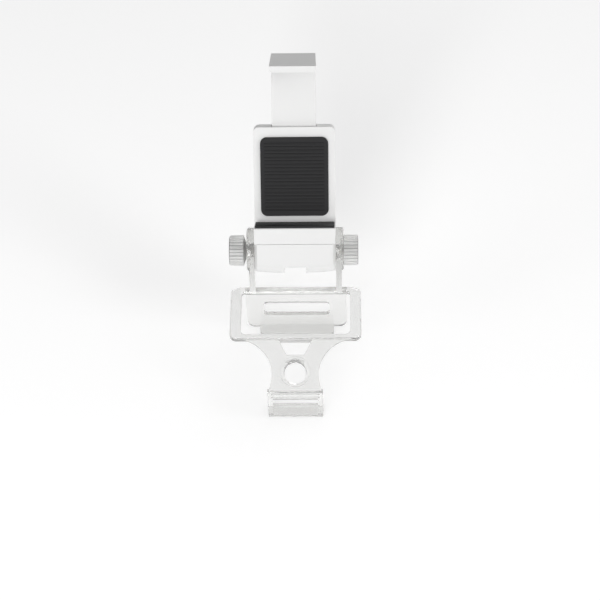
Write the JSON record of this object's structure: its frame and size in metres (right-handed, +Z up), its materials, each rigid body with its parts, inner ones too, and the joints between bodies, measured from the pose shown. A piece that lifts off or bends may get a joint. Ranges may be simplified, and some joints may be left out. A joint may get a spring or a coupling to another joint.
{
  "type": "controller handset clip",
  "caption": "Clear bracket that hooks over a game controller, with a tilting white spring clamp for a handset held between two thumb screws.",
  "frame": {"origin": "middle of the bracket's window, on the underside of its flat frame, where it lies on the host's touch pad", "axes": "+X to the right and the axis of symmetry, +Y away from the user, +Z up from the frame"},
  "size_m": [0.0595, 0.119, 0.1193],
  "materials": {
    "clear_plastic": "clear injection-moulded polycarbonate, glossy",
    "knob_plastic": "clear moulded plastic, frosty on the ribs",
    "white_plastic": "white injection-moulded plastic, semi-gloss",
    "black_rubber": "matt black rubber",
    "washer_nylon": "natural nylon friction washer",
    "steel": "zinc-plated steel"
  },
  "bodies": {
    "bracket": {"bracket": "clear_plastic"},
    "clamp": {"clamp_body": "white_plastic", "front_cap": "white_plastic", "rear_cover": "white_plastic", "shelf_pad": "black_rubber", "back_pad": "black_rubber", "spring_left": "steel", "spring_right": "steel", "guide_rod_left": "steel", "guide_rod_right": "steel", "nut_left": "steel", "nut_right": "steel", "washer_left": "washer_nylon", "washer_right": "washer_nylon", "rear_screws": "steel"},
    "slider": {"slider": "white_plastic", "jaw_pad": "black_rubber"},
    "stud_left": {"stud_left": "steel"},
    "knob_left": {"knob_left": "knob_plastic"},
    "stud_right": {"stud_right": "steel"},
    "knob_right": {"knob_right": "knob_plastic"}
  },
  "joints": [
    {"name": "clamp_tilt", "type": "hinge", "parent": "bracket", "child": "clamp", "pos_m": [0, 0.0231, 0.0179], "axis": [1, 0, 0], "range_deg": [-57, 126]},
    {"name": "jaw_slide", "type": "slide", "parent": "clamp", "child": "slider", "axis": [0, 0.5878, 0.809], "range_m": [-0.015, 0.013], "stiffness_N_per_m": 250, "springref_m": -0.02, "deforming": ["spring_left", "spring_right"]},
    {"name": "stud_left_slide", "type": "slide", "parent": "clamp", "child": "stud_left", "axis": [-1, 0, 0], "range_m": [-0.00132, 0.00112]},
    {"name": "knob_left_turn", "type": "hinge", "parent": "stud_left", "child": "knob_left", "pos_m": [-0.025, 0.0231, 0.0179], "axis": [-1, 0, 0], "range_deg": [-682, 579]},
    {"name": "stud_right_slide", "type": "slide", "parent": "clamp", "child": "stud_right", "axis": [1, 0, 0], "range_m": [0, 0.00244]},
    {"name": "knob_right_turn", "type": "hinge", "parent": "stud_right", "child": "knob_right", "pos_m": [0.025, 0.0231, 0.0179], "axis": [1, 0, 0], "range_deg": [0, 1260]}
  ],
  "couplings": [
    {"joint": "knob_left_turn", "follows": "stud_left_slide", "rad_per_m": 8976},
    {"joint": "knob_right_turn", "follows": "stud_right_slide", "rad_per_m": 8976}
  ]
}
